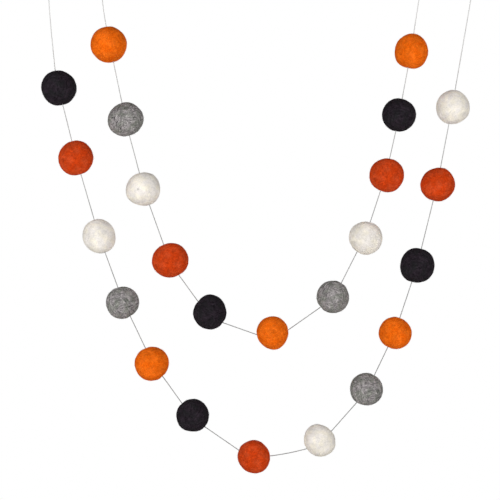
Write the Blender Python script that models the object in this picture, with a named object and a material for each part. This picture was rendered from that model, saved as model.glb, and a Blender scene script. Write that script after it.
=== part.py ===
"""Felt ball garland: felted wool balls on one cotton string, hanging in two swags.

The string starts in a tied loop at the upper right, hangs down through the inner swag, turns back
over two hanging points at the upper left, hangs down through the outer swag and ends in a second
tied loop at the upper right. X runs to the right, Y away from the viewer and Z up. The origin is
on the line where the string bears on what holds it up.
"""
import math

import bmesh
import bpy
from mathutils import Vector, noise

MM = 0.001

# The string and its needle channels
STRING_DIAMETER = 0.8 * MM
CHANNEL_DIAMETER = 1.5 * MM
STRING_SIDES_LEVEL = 2
BEND_REACH = 10 * MM
BEND_STEPS = 16
STRAIGHT_STEP = 2 * MM
CHORD_ERROR = 0.25 * MM
MERGE_DISTANCE = 0.01 * MM

# How far a ball departs from a smooth egg shape: soft lumps all over, which differ from one ball to
# the next by a step through the noise, and one corner or flat that rolling by hand left on it. The
# corner is a sum of waves round the ball, so it changes neither the ball's size nor its place.
LUMP_HEIGHT = 0.03
LUMP_FREQUENCY = 1.4
LUMP_STEP = (7.31, 3.17, 5.53)
CORNER_WIDTH = 0.5
CORNER_WAVES = range(3, 7)
BALL_SEGMENTS = 16
BALL_RINGS = 11

# A tied end: two strands side by side through a knot, a loop above it and a short tail below it
STRAND_SPACING = 1.7 * MM
KNOT_HEIGHT = 4.6 * MM
KNOT_DIAMETER = 4.6 * MM
KNOT_WAIST_DIAMETER = 4.1 * MM
KNOT_END_DIAMETER = 3.7 * MM
KNOT_SIDES = 16
# How far from its middle the knot is widest, and where its rounded ends start
KNOT_RIDGE = 0.5
KNOT_SHOULDER = 0.86
LOOP_HEIGHT = 14.4 * MM
LOOP_WIDTH = 6.4 * MM
TAIL_LENGTH = 6.5 * MM
TAIL_SPREAD = 1.4 * MM

# Felt and string colours
FELT_COLOURS = {
    "orange": (0.80, 0.13, 0.006),
    "burnt_orange": (0.53, 0.045, 0.008),
    "cream": (0.86, 0.80, 0.71),
    "grey": (0.24, 0.225, 0.22),
    "black": (0.020, 0.016, 0.020),
}
STRING_COLOUR = (0.46, 0.457, 0.45)
FELT_ROUGHNESS = 0.95
STRING_ROUGHNESS = 0.85

# Each ball in mm: place of its centre, long and short diameter, and the long axis's tilt from
# level in degrees. Then, seen from the front, the direction of its corner in degrees and how high
# the corner stands, where a height below 0 is a flat. The inner swag runs from right to left and
# the outer one from left to right.
INNER_BALLS = (
    # colour, x, z, long, short, tilt, corner at, corner height
    ("orange", 114.75, -61.5, 26.0, 25.0, 80, 260, -1.5),
    ("black", 105.5, -108.5, 25.0, 24.5, 0, 20, 0.8),
    ("burnt_orange", 96.5, -153.0, 25.75, 25.25, 160, 250, -0.7),
    ("cream", 81.0, -199.25, 24.75, 24.25, 155, 100, -0.6),
    ("grey", 56.75, -242.75, 24.25, 23.75, 120, 320, 0.3),
    ("orange", 12.25, -269.25, 24.5, 23.5, 105, 290, 1.2),
    ("black", -34.0, -254.0, 25.75, 24.25, 75, 140, -1.4),
    ("burnt_orange", -63.25, -215.75, 27.25, 25.25, 15, 170, 0.4),
    ("cream", -83.25, -163.25, 25.75, 24.75, 20, 260, -1.3),
    ("grey", -96.25, -111.75, 26.5, 25.0, 25, 50, -0.7),
    ("orange", -108.75, -56.5, 26.75, 26.75, 120, 70, -0.3),
)
OUTER_BALLS = (
    # colour, x, z, long, short, tilt, corner at, corner height
    ("black", -145.5, -88.5, 26.25, 25.75, 135, 240, 0.8),
    ("burnt_orange", -133.0, -140.25, 26.0, 25.5, 35, 275, -0.4),
    ("cream", -115.75, -198.0, 26.0, 24.0, 125, 255, -0.7),
    ("grey", -98.5, -247.0, 24.75, 23.75, 30, 200, -1.2),
    ("orange", -77.0, -292.0, 25.5, 25.0, 30, 320, -0.8),
    ("black", -46.75, -330.25, 24.25, 24.25, 85, 270, -1.3),
    ("burnt_orange", -1.5, -360.75, 24.75, 23.75, 125, 310, 1.0),
    ("cream", 47.0, -348.75, 24.5, 22.5, 130, 110, 0.8),
    ("grey", 81.5, -311.0, 24.5, 24.0, 150, 220, 0.6),
    ("orange", 102.75, -269.5, 24.5, 23.5, 155, 150, -0.6),
    ("black", 119.0, -219.5, 26.0, 25.5, 70, 230, 1.1),
    ("burnt_orange", 134.25, -159.75, 25.75, 24.75, 35, 70, 1.0),
    ("cream", 145.25, -102.75, 25.25, 24.75, 55, 340, 1.1),
)

# The string's route in mm, x and z, in the order in which it is threaded. It runs straight from
# ball to ball and bends inside them, so each ball has one point, where its two stretches cross.
INNER_ROUTE = (
    (114.4, -61.5),
    (105.0, -112.5),
    (96.4, -150.8),
    (81.7, -195.6),
    (57.4, -243.5),
    (12.8, -274.9),
    (-33.8, -258.5),
    (-63.1, -218.1),
    (-82.8, -163.3),
    (-95.5, -115.8),
    (-107.6, -58.0),
)
TURN_ROUTE = (
    # a slack stretch up to the first hanging point, over it, a small sag, over the second, and down
    (-111.7, -37.0),
    (-113.9, -20.0),
    (-115.9, -0.9),
    (-117.9, 0.6),
    (-135.1, -2.4),
    (-152.5, 0.6),
    (-154.6, -1.3),
    (-151.5, -43.0),
)
OUTER_ROUTE = (
    (-147.75, -80.5),
    (-132.8, -140.0),
    (-115.8, -198.0),
    (-98.5, -245.1),
    (-77.2, -289.8),
    (-46.5, -332.6),
    (-3.8, -362.0),
    (22.5, -358.6),
    (46.1, -352.7),
    (81.7, -312.4),
    (102.8, -268.4),
    (118.7, -220.8),
    (134.0, -159.0),
    (144.8, -102.7),
)

# The two knots in mm, x and z, and the slope of the string that each one ends
INNER_KNOT = (122.6, -14.0)
INNER_KNOT_SLOPE = 0.155
OUTER_KNOT = (161.1, -14.0)
OUTER_KNOT_SLOPE = 0.175


def clear_scene():
    for thing in list(bpy.data.objects):
        bpy.data.objects.remove(thing)


def new_collection(name):
    collection = bpy.data.collections.new(name)
    bpy.context.scene.collection.children.link(collection)
    return collection


def plain_material(name, colour, roughness):
    material = bpy.data.materials.new(name)
    material.use_nodes = True
    shader = material.node_tree.nodes["Principled BSDF"]
    shader.inputs["Base Color"].default_value = (*colour, 1.0)
    shader.inputs["Roughness"].default_value = roughness
    shader.inputs["Metallic"].default_value = 0.0
    material.diffuse_color = (*colour, 1.0)
    return material


def on_plane(x, z):
    """A place on the garland's own upright plane, from millimetres."""
    return Vector((x * MM, 0.0, z * MM))


def tied_loop(knot, slope):
    """Points from the tail's end up through the knot, round the loop and back below the knot."""
    centre = on_plane(*knot)
    up = Vector((slope, 0.0, 1.0)).normalized()
    side = Vector((up.z, 0.0, -up.x))
    strand = STRAND_SPACING / 2
    half_knot = KNOT_HEIGHT / 2
    half_loop = LOOP_WIDTH / 2
    widest = LOOP_HEIGHT - half_loop
    corner = half_loop * math.tan(math.radians(22.5))
    places = (
        (TAIL_SPREAD, -TAIL_LENGTH),
        (strand, -half_knot),
        (strand, half_knot),
        (half_loop, widest - corner),
        (half_loop, widest + corner),
        (corner, LOOP_HEIGHT),
        (-corner, LOOP_HEIGHT),
        (-half_loop, widest + corner),
        (-half_loop, widest - corner),
        (-strand, half_knot),
        (-strand, -half_knot),
    )
    return [centre + side * across + up * along for across, along in places]


def string_route():
    """Every point that the string is threaded through, from one tail's end to the other's."""
    first = tied_loop(INNER_KNOT, INNER_KNOT_SLOPE)
    last = tied_loop(OUTER_KNOT, OUTER_KNOT_SLOPE)
    middle = [on_plane(x, z) for x, z in INNER_ROUTE + TURN_ROUTE + OUTER_ROUTE]
    return first + middle + last[::-1]


def in_steps(start, end):
    """The places on the straight way to the end, in short steps."""
    steps = round((end - start).length / STRAIGHT_STEP)
    return [start.lerp(end, k / steps) for k in range(1, steps + 1)]


def taut_string(route):
    """The route with its corners rounded: straight in between, as a string under load hangs."""
    curve = [route[0]]
    for before, corner, after in zip(route, route[1:], route[2:]):
        back, on = before - corner, after - corner
        reach = min(BEND_REACH, back.length / 2, on.length / 2)
        start = corner + back.normalized() * reach
        end = corner + on.normalized() * reach
        curve += in_steps(curve[-1], start)
        for k in range(1, BEND_STEPS + 1):
            share = k / BEND_STEPS
            curve.append(start.lerp(corner, share).lerp(corner.lerp(end, share), share))
    return curve + in_steps(curve[-1], route[-1])


def distance_to_chord(point, start, end):
    chord = end - start
    share = (point - start).dot(chord) / chord.length_squared
    return (point - start - chord * share).length


def few_points(curve):
    """As few of the curve's points as keep every straight piece close to it."""
    kept = [0]
    for k in range(2, len(curve)):
        start = kept[-1]
        skipped = curve[start + 1 : k]
        if max(distance_to_chord(p, curve[start], curve[k]) for p in skipped) > CHORD_ERROR:
            kept.append(k - 1)
    return [curve[k] for k in kept] + [curve[-1]]


def tube(name, points, diameter, collection):
    data = bpy.data.curves.new(name, "CURVE")
    data.dimensions = "3D"
    data.bevel_depth = diameter / 2
    data.bevel_resolution = STRING_SIDES_LEVEL
    data.use_fill_caps = True
    spline = data.splines.new("POLY")
    spline.points.add(len(points) - 1)
    for spot, point in zip(spline.points, points):
        spot.co = (*point, 1.0)
    made = bpy.data.objects.new(name, data)
    collection.objects.link(made)
    return made


def tube_as_cutter(name, points, diameter, collection):
    """The same tube as a closed mesh, because a curve can't cut."""
    curve = tube(name + "_curve", points, diameter, collection)
    evaluated = curve.evaluated_get(bpy.context.evaluated_depsgraph_get())
    mesh = bpy.data.meshes.new_from_object(evaluated)
    shape = bmesh.new()
    shape.from_mesh(mesh)
    bmesh.ops.remove_doubles(shape, verts=shape.verts, dist=MERGE_DISTANCE)
    bmesh.ops.recalc_face_normals(shape, faces=shape.faces)
    shape.to_mesh(mesh)
    shape.free()
    cutter = bpy.data.objects.new(name, mesh)
    cutter.matrix_world = curve.matrix_world
    cutter.display_type = "WIRE"
    cutter.hide_render = True
    collection.objects.link(cutter)
    bpy.data.objects.remove(curve)
    return cutter


def cut_channel(piece, cutter):
    cut = piece.modifiers.new("needle_channel", "BOOLEAN")
    cut.operation = "DIFFERENCE"
    cut.solver = "EXACT"
    cut.object = cutter


def heading_near(curve, centre):
    """The direction in which the string passes a place."""
    nearest = min(range(1, len(curve) - 1), key=lambda k: (curve[k] - centre).length)
    return (curve[nearest + 1] - curve[nearest - 1]).normalized()


def egg_scale(direction, long, short, tilt):
    """Stretch a unit direction into an egg shape whose long axis is tilted in the garland's plane."""
    long_axis = Vector((math.cos(tilt), 0.0, math.sin(tilt)))
    short_axis = Vector((-math.sin(tilt), 0.0, math.cos(tilt)))
    depth = (long + short) / 2
    return (
        long_axis * direction.dot(long_axis) * long / 2
        + short_axis * direction.dot(short_axis) * short / 2
        + Vector((0.0, direction.y * depth / 2, 0.0))
    )


def corner_lift(direction, at, height):
    """How far a ball's corner lifts its skin: a bump of that height, less what would move the ball."""
    away = math.atan2(direction.z, direction.x) - at
    wave = 0.0
    for n in CORNER_WAVES:
        share = CORNER_WIDTH / math.sqrt(math.pi) * math.exp(-((n * CORNER_WIDTH / 2) ** 2))
        wave += share * math.cos(n * away)
    return height * wave * math.hypot(direction.x, direction.z) ** 3


def felt_ball(name, row, number, curve, material, collection):
    """One hand-rolled ball: an egg shape with soft lumps, its poles where the string comes out."""
    _, x, z, long, short, tilt, corner_at, corner_height = row
    centre = on_plane(x, z)
    turn = Vector((0.0, 0.0, 1.0)).rotation_difference(heading_near(curve, centre))
    own_lumps = Vector(LUMP_STEP) * number
    mesh = bpy.data.meshes.new(name)
    shape = bmesh.new()
    bmesh.ops.create_uvsphere(shape, u_segments=BALL_SEGMENTS, v_segments=BALL_RINGS, radius=1.0)
    for vert in shape.verts:
        direction = (turn @ vert.co).normalized()
        lump = 1.0 + LUMP_HEIGHT * noise.noise(direction * LUMP_FREQUENCY + own_lumps)
        egg = egg_scale(direction, long * MM, short * MM, math.radians(tilt))
        lift = corner_lift(direction, math.radians(corner_at), corner_height * MM)
        vert.co = egg * lump + direction * lift
    shape.to_mesh(mesh)
    shape.free()
    mesh.shade_smooth()
    mesh.materials.append(material)
    ball = bpy.data.objects.new(name, mesh)
    ball.location = centre
    collection.objects.link(ball)
    return ball


def end_knot(name, place, slope, material, collection):
    """The knot that closes a loop: a short barrel with one ridge for each wrapped turn."""
    half = KNOT_HEIGHT / 2
    outline = (
        (0.0, half),
        (KNOT_END_DIAMETER / 2, KNOT_SHOULDER * half),
        (KNOT_DIAMETER / 2, KNOT_RIDGE * half),
        (KNOT_WAIST_DIAMETER / 2, 0.0),
        (KNOT_DIAMETER / 2, -KNOT_RIDGE * half),
        (KNOT_END_DIAMETER / 2, -KNOT_SHOULDER * half),
        (0.0, -half),
    )
    mesh = bpy.data.meshes.new(name)
    shape = bmesh.new()
    spots = [shape.verts.new((radius, 0.0, height)) for radius, height in outline]
    for upper, lower in zip(spots, spots[1:]):
        shape.edges.new((upper, lower))
    bmesh.ops.spin(
        shape,
        geom=shape.verts[:] + shape.edges[:],
        cent=(0.0, 0.0, 0.0),
        axis=(0.0, 0.0, 1.0),
        angle=2 * math.pi,
        steps=KNOT_SIDES,
    )
    bmesh.ops.remove_doubles(shape, verts=shape.verts, dist=MERGE_DISTANCE)
    bmesh.ops.recalc_face_normals(shape, faces=shape.faces)
    shape.to_mesh(mesh)
    shape.free()
    mesh.shade_smooth()
    mesh.materials.append(material)
    knot = bpy.data.objects.new(name, mesh)
    knot.location = on_plane(*place)
    knot.rotation_euler = (0.0, math.atan(slope), 0.0)
    collection.objects.link(knot)
    return knot


def string_swag(swag, rows, first_number, curve, cutter, felts, collection):
    for place, row in enumerate(rows, start=1):
        name = f"ball_{swag}_{place:02d}_{row[0]}"
        ball = felt_ball(name, row, first_number + place, curve, felts[row[0]], collection)
        cut_channel(ball, cutter)


def build():
    clear_scene()
    garland = new_collection("felt_ball_garland")
    cutters = new_collection("cutters")
    felts = {
        name: plain_material("felt_" + name, colour, FELT_ROUGHNESS)
        for name, colour in FELT_COLOURS.items()
    }
    cotton = plain_material("cotton_string", STRING_COLOUR, STRING_ROUGHNESS)

    curve = taut_string(string_route())
    points = few_points(curve)
    string = tube("string", points, STRING_DIAMETER, garland)
    string.data.materials.append(cotton)
    cutter = tube_as_cutter("channel_cutter", points, CHANNEL_DIAMETER, cutters)

    string_swag("inner", INNER_BALLS, 0, curve, cutter, felts, garland)
    string_swag("outer", OUTER_BALLS, len(INNER_BALLS), curve, cutter, felts, garland)
    inner_knot = end_knot("knot_inner", INNER_KNOT, INNER_KNOT_SLOPE, cotton, garland)
    outer_knot = end_knot("knot_outer", OUTER_KNOT, OUTER_KNOT_SLOPE, cotton, garland)
    for knot in (inner_knot, outer_knot):
        cut_channel(knot, cutter)

    length = sum((b - a).length for a, b in zip(curve, curve[1:]))
    print(f"string {length:.3f} m long, drawn with {len(points)} points")


build()
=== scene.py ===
# %% [markdown]
# A garland of felted wool balls hangs in two swags from one cotton string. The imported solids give
# every piece its place and size, and this notebook dresses them: it twists the string from its
# plies, gives each ball its felted skin and stray fibres, and lights the whole softly against
# plain white. The frame is loaded first and stays as it is.

# %% Load the frame
import math
import random

import bpy
from mathutils import Euler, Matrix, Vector, noise


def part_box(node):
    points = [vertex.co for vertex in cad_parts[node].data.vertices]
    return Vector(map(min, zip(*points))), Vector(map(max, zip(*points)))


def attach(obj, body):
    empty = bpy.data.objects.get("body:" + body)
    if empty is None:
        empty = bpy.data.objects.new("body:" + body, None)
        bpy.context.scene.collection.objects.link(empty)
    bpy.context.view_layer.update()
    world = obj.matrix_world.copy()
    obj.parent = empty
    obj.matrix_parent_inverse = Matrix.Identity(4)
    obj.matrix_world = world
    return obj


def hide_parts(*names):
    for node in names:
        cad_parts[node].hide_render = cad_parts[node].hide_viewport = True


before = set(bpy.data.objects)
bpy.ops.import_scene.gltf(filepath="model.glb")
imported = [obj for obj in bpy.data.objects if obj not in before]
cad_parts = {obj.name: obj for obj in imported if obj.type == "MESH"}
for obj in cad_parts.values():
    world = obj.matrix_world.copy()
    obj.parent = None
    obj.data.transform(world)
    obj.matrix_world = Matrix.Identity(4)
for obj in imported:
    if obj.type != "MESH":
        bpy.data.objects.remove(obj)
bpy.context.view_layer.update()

MM = 0.001
scene = bpy.context.scene


# %% [markdown]
# The garland is seen level and straight on, from far enough away that the balls at the edges look
# as round as those in the middle. A camera 1.5 m away with a long lens does the same. Its sensor,
# its distance and the width that it has to take in give the lens by similar triangles.

# %% Camera
VIEW_WIDTH = 369.06 * MM
VIEW_CENTRE = Vector((-4.4 * MM, 0.0, -208.15 * MM))
CAMERA_DISTANCE = 1.5
SENSOR_WIDTH = 36.0

camera_data = bpy.data.cameras.new("camera")
camera_data.sensor_width = SENSOR_WIDTH
camera_data.lens = SENSOR_WIDTH * CAMERA_DISTANCE / VIEW_WIDTH
camera = bpy.data.objects.new("camera", camera_data)
camera.location = VIEW_CENTRE - Vector((0.0, CAMERA_DISTANCE, 0.0))
camera.rotation_euler = Euler((math.radians(90), 0.0, 0.0))
scene.collection.objects.link(camera)
scene.camera = camera
print(f"lens {camera_data.lens:.1f} mm")

# %% [markdown]
# The string is one length. It starts in a tied loop at the upper right, runs down through the
# inner swag, turns back over two hanging points at the upper left, runs down through the outer
# swag and ends in a second tied loop. Its route has one point for each ball, where two straight
# stretches cross, and a few more where it turns in the open. The solids were made from the same
# points, which are the x and z of each in millimetres.

# %% Route of the string
STRING_DIAMETER = 0.8 * MM
INNER_ROUTE = (
    (114.4, -61.5), (105.0, -112.5), (96.4, -150.8), (81.7, -195.6),
    (57.4, -243.5), (12.8, -274.9), (-33.8, -258.5), (-63.1, -218.1),
    (-82.8, -163.3), (-95.5, -115.8), (-107.6, -58.0),
)
TURN_ROUTE = (
    (-111.7, -37.0), (-113.9, -20.0), (-115.9, -0.9), (-117.9, 0.6),
    (-135.1, -2.4), (-152.5, 0.6), (-154.6, -1.3), (-151.5, -43.0),
)
OUTER_ROUTE = (
    (-147.75, -80.5), (-132.8, -140.0), (-115.8, -198.0), (-98.5, -245.1),
    (-77.2, -289.8), (-46.5, -332.6), (-3.8, -362.0), (22.5, -358.6),
    (46.1, -352.7), (81.7, -312.4), (102.8, -268.4), (118.7, -220.8),
    (134.0, -159.0), (144.8, -102.7),
)


def on_plane(x, z):
    """A place on the garland's own upright plane, from millimetres."""
    return Vector((x * MM, 0.0, z * MM))


open_route = [on_plane(x, z) for x, z in INNER_ROUTE + TURN_ROUTE + OUTER_ROUTE]
print(len(open_route), "points between the two knots")

# %% [markdown]
# Each end of the string is tied back on itself into a small loop for hanging. The string comes up
# through its knot, goes round and comes back down beside itself, with a short tail below the knot.
# The loop's points are given across and along the knot, so that it leans with its own string.

# %% Tied loops
INNER_KNOT = (122.6, -14.0)
INNER_KNOT_SLOPE = 0.155
OUTER_KNOT = (161.1, -14.0)
OUTER_KNOT_SLOPE = 0.175
STRAND_SPACING = 1.7 * MM
KNOT_HEIGHT = 4.6 * MM
LOOP_HEIGHT = 14.4 * MM
LOOP_WIDTH = 6.4 * MM
TAIL_LENGTH = 6.5 * MM
TAIL_SPREAD = 1.4 * MM


def knot_axes(slope):
    """The directions along and across a knot, in the garland's plane."""
    up = Vector((slope, 0.0, 1.0)).normalized()
    return up, Vector((up.z, 0.0, -up.x))


def tied_loop(knot, slope):
    """Points from the tail's end up through the knot, round the loop and back below the knot."""
    up, side = knot_axes(slope)
    strand = STRAND_SPACING / 2
    half_knot = KNOT_HEIGHT / 2
    half_loop = LOOP_WIDTH / 2
    widest = LOOP_HEIGHT - half_loop
    corner = half_loop * math.tan(math.radians(22.5))
    places = (
        (TAIL_SPREAD, -TAIL_LENGTH),
        (strand, -half_knot),
        (strand, half_knot),
        (half_loop, widest - corner),
        (half_loop, widest + corner),
        (corner, LOOP_HEIGHT),
        (-corner, LOOP_HEIGHT),
        (-half_loop, widest + corner),
        (-half_loop, widest - corner),
        (-strand, half_knot),
        (-strand, -half_knot),
    )
    return [on_plane(*knot) + side * across + up * along for across, along in places]


first_loop = tied_loop(INNER_KNOT, INNER_KNOT_SLOPE)
last_loop = tied_loop(OUTER_KNOT, OUTER_KNOT_SLOPE)[::-1]
print(f"loops {LOOP_HEIGHT / MM:.1f} mm high, {LOOP_WIDTH / MM:.1f} mm wide")

# %% [markdown]
# A string under load hangs straight and bends only where something turns it. A smooth curve
# through all the points would wave between the balls, so each corner alone is rounded here, by a
# short parabola, and straight steps join one rounded corner to the next.

# %% Pull the string taut
BEND_REACH = 10 * MM
BEND_STEPS = 16
STRAIGHT_STEP = 2 * MM


def in_steps(start, end):
    """The places on the straight way to the end, in short steps."""
    steps = round((end - start).length / STRAIGHT_STEP)
    return [start.lerp(end, k / steps) for k in range(1, steps + 1)]


def taut_string(route):
    """The route with its corners rounded, and straight in between."""
    curve = [route[0]]
    for before, corner, after in zip(route, route[1:], route[2:]):
        back, on = before - corner, after - corner
        reach = min(BEND_REACH, back.length / 2, on.length / 2)
        start = corner + back.normalized() * reach
        end = corner + on.normalized() * reach
        curve += in_steps(curve[-1], start)
        for k in range(1, BEND_STEPS + 1):
            share = k / BEND_STEPS
            curve.append(start.lerp(corner, share).lerp(corner.lerp(end, share), share))
    return curve + in_steps(curve[-1], route[-1])


def length_of(points):
    return sum((b - a).length for a, b in zip(points, points[1:]))


string_path = taut_string(first_loop + open_route + last_loop)

# %% [markdown]
# Both kinds of node tree in this notebook, the ones that make shapes and the ones that make
# surfaces, are built by a few small helpers. Each adds one node, sets it up, and fills or links
# its inputs, so that a recipe further down reads as a list of steps.

# %% Helpers for node trees
def put(tree, kind, inputs=(), **settings):
    """Add a node to a tree. An input is given a value, or the socket that it takes one from."""
    made = tree.nodes.new(kind)
    for name, value in settings.items():
        setattr(made, name, value)
    for key, value in dict(inputs).items():
        if isinstance(value, bpy.types.NodeSocket):
            tree.links.new(value, made.inputs[key])
        else:
            made.inputs[key].default_value = value
    return made


def maths(tree, operation, *values):
    return put(tree, "ShaderNodeMath", dict(enumerate(values)), operation=operation).outputs[0]


def vector_maths(tree, operation, *values):
    """Vector maths. The number that scales a vector is the node's fourth input."""
    keys = (0, 3) if operation == "SCALE" else range(len(values))
    inputs = dict(zip(keys, values))
    return put(tree, "ShaderNodeVectorMath", inputs, operation=operation).outputs[0]


def spread(tree, value, low, high, to_low=0.0, to_high=1.0):
    """Stretch the values from low to high over another range, and hold them within it."""
    return put(
        tree,
        "ShaderNodeMapRange",
        {"Value": value, "From Min": low, "From Max": high, "To Min": to_low, "To Max": to_high},
    ).outputs[0]


print("helpers for node trees are ready")

# %% [markdown]
# Cotton and felted wool are both dry and matt. A material that is plain white and rough would do
# for their gloss but not for their colour, which changes all over each piece. So both start from
# the same rough shader with an empty colour input, which the recipes below fill. What varies in
# them is noise, of one kind that fills space and another that changes along a length alone.

# %% Steps that the materials share
DRY_GLOSS = 0.03


def noise_texture(tree, place, scale, detail, roughness=0.5):
    return put(
        tree,
        "ShaderNodeTexNoise",
        {"Vector": place, "Scale": scale, "Detail": detail, "Roughness": roughness},
    ).outputs


def drift(tree, length, per_metre):
    """A noise that changes along a length alone."""
    way = maths(tree, "MULTIPLY", length, per_metre)
    made = put(tree, "ShaderNodeTexNoise", {"W": way, "Scale": 1.0}, noise_dimensions="1D")
    return made.outputs["Fac"]


def matt_material(name, roughness):
    """A material with an empty colour input, its node tree and its shader."""
    material = bpy.data.materials.new(name)
    material.use_nodes = True
    shader = material.node_tree.nodes["Principled BSDF"]
    shader.inputs["Roughness"].default_value = roughness
    shader.inputs["Specular IOR Level"].default_value = DRY_GLOSS
    return material, material.node_tree, shader


def mixed_colour(tree, share, first, second):
    inputs = {0: share, 6: first, 7: second}
    return put(tree, "ShaderNodeMix", inputs, data_type="RGBA").outputs[2]


def from_mesh(tree, name, output="Fac"):
    """What the piece's mesh keeps under a name."""
    return put(tree, "ShaderNodeAttribute", attribute_name=name).outputs[output]


print("the gloss of cotton and wool is", DRY_GLOSS)

# %% [markdown]
# The string is undyed cotton of three plies. A little grain runs along each ply, and the shade
# drifts slowly along the string, so the material reads where on the string a point is: how far
# along, and how far round its ply. The shape recipe below stores both. Painted light also pales
# the cotton towards the top, most of it near the hanging points, and its height gives that: a
# paler shade is mixed into the colour the higher the string hangs, standing in for brighter light.

# %% Cotton material
COTTON_DEEP = (0.255, 0.254, 0.252, 1.0)
COTTON_LIGHT = (0.475, 0.472, 0.468, 1.0)
# Painted light: this pale shade is mixed in higher up and stands in for brighter light there
COTTON_PAINTED_LIGHT = (0.78, 0.776, 0.768, 1.0)
COTTON_ROUGHNESS = 0.85
# How often the grain changes in a metre of string and once round a ply, how often the shade
# drifts in a metre, the grain's share of the shade, and the values that give deep and light
GRAIN_ALONG = 600.0
GRAIN_ROUND = 14.0
GRAIN_DETAIL = 3.0
DRIFT_ALONG = 60.0
GRAIN_SHARE = 0.7
COTTON_RANGE = (0.35, 0.65)
COTTON_BUMP = {"Strength": 0.4, "Distance": 0.04 * MM}
# The heights between which painted light pales the cotton, how late, and how much of it shows at
# the top
PAINTED_LIGHT_FROM = -0.40
PAINTED_LIGHT_TO = -0.03
PAINTED_LIGHT_STEEPNESS = 3.0
PAINTED_LIGHT_SHARE = 0.85


def cotton_grain(tree, along):
    """Fine streaks that run along each ply."""
    down_the_ply = maths(tree, "MULTIPLY", along, GRAIN_ALONG)
    round_the_ply = maths(tree, "MULTIPLY", from_mesh(tree, "around"), GRAIN_ROUND)
    place = put(tree, "ShaderNodeCombineXYZ", {0: down_the_ply, 1: round_the_ply}).outputs[0]
    return noise_texture(tree, place, 1.0, GRAIN_DETAIL)["Fac"]


def painted_light_above(tree, shade):
    """The shade, with more painted light mixed in the higher the string hangs."""
    place = put(tree, "ShaderNodeTexCoord").outputs["Object"]
    height = put(tree, "ShaderNodeSeparateXYZ", {0: place}).outputs[2]
    # The painted light grows with the string's height
    light_share = maths(tree, "POWER", spread(tree, height, PAINTED_LIGHT_FROM, PAINTED_LIGHT_TO), PAINTED_LIGHT_STEEPNESS)
    return mixed_colour(tree, maths(tree, "MULTIPLY", light_share, PAINTED_LIGHT_SHARE), shade, COTTON_PAINTED_LIGHT)


def cotton_material():
    material, tree, shader = matt_material("cotton", COTTON_ROUGHNESS)
    along = from_mesh(tree, "along")
    grain = cotton_grain(tree, along)
    slow = maths(tree, "MULTIPLY", drift(tree, along, DRIFT_ALONG), 1.0 - GRAIN_SHARE)
    share = maths(tree, "ADD", maths(tree, "MULTIPLY", grain, GRAIN_SHARE), slow)
    shade = mixed_colour(tree, spread(tree, share, *COTTON_RANGE), COTTON_DEEP, COTTON_LIGHT)
    # The base colour carries the painted light of the upper string
    tree.links.new(painted_light_above(tree, shade), shader.inputs["Base Color"])
    bump = put(tree, "ShaderNodeBump", {**COTTON_BUMP, "Height": grain})
    tree.links.new(bump.outputs["Normal"], shader.inputs["Normal"])
    return material


cotton = cotton_material()
print("made the material", cotton.name)

# %% [markdown]
# A plied string is a few thin yarns that wind round each other. Three separate coils would each
# need a path of their own. Sweeping a ring of small circles along the one path, while the path's
# tilt grows evenly with its length, makes exactly the same in one step for all plies. A slow noise
# swells and thins the yarn a little, as in real cotton string. The recipe is a node tree with
# named inputs, and it makes both the string itself and the wrapped turns of its knots.

# %% Steps that the shape recipes share
def new_tree(name, kind, inputs, outputs):
    """A node tree with named inputs, as (name, socket type, value), and named outputs."""
    tree = bpy.data.node_groups.new(name, kind)
    for label, socket_type, value in inputs:
        socket = tree.interface.new_socket(label, in_out="INPUT", socket_type=socket_type)
        if value is not None:
            socket.default_value = value
    for label, socket_type in outputs:
        tree.interface.new_socket(label, in_out="OUTPUT", socket_type=socket_type)
    given = tree.nodes.new("NodeGroupInput").outputs
    result = tree.nodes.new("NodeGroupOutput").inputs
    return tree, given, result


def circle(tree, sides, radius):
    inputs = {"Resolution": sides, "Radius": radius}
    return put(tree, "GeometryNodeCurvePrimitiveCircle", inputs).outputs[0]


def keep_on_curve(tree, curve, name, value):
    """Keep a number for every point of a curve, for the material to read from the mesh."""
    return put(
        tree,
        "GeometryNodeStoreNamedAttribute",
        {"Geometry": curve, "Name": name, "Value": value},
        data_type="FLOAT",
        domain="POINT",
    ).outputs[0]


def finished(tree, shape, material):
    """The end of each recipe: all copies made real, shaded smooth and given their material."""
    shape = put(tree, "GeometryNodeRealizeInstances", {0: shape}).outputs[0]
    shape = put(tree, "GeometryNodeSetShadeSmooth", {0: shape}).outputs[0]
    inputs = {"Geometry": shape, "Material": material}
    return put(tree, "GeometryNodeSetMaterial", inputs).outputs[0]


print("steps for shape recipes are ready")

# %% Line and section of the string
PLIES = 3
PLY_DIAMETER = 0.40 * MM
PLY_SIDES = 6
LAY_LENGTH = 2.6 * MM


def turned_line(tree, given, length):
    """The string's middle line in even steps, tilted further with every step."""
    line = put(tree, "GeometryNodeMeshToCurve", {0: given["Path"]}).outputs[0]
    even = {"Curve": line, "Length": given["Step"]}
    line = put(tree, "GeometryNodeResampleCurve", even, mode="LENGTH").outputs[0]
    turns = maths(tree, "DIVIDE", length, given["Lay Length"])
    tilt = maths(tree, "MULTIPLY", turns, 2 * math.pi)
    line = put(tree, "GeometryNodeSetCurveTilt", {"Curve": line, "Tilt": tilt}).outputs[0]
    return keep_on_curve(tree, line, "along", length)


def ring_of_plies(tree, given):
    """The string's section: one small circle for each ply, set round a ring."""
    ply = circle(tree, PLY_SIDES, maths(tree, "MULTIPLY", given["Ply Diameter"], 0.5))
    round_it = put(tree, "GeometryNodeSplineParameter").outputs["Factor"]
    ply = keep_on_curve(tree, ply, "around", round_it)
    ring = circle(tree, given["Plies"], given["Ring Radius"])
    plies = put(tree, "GeometryNodeInstanceOnPoints", {"Points": ring, "Instance": ply}).outputs[0]
    return put(tree, "GeometryNodeRealizeInstances", {0: plies}).outputs[0]


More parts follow.
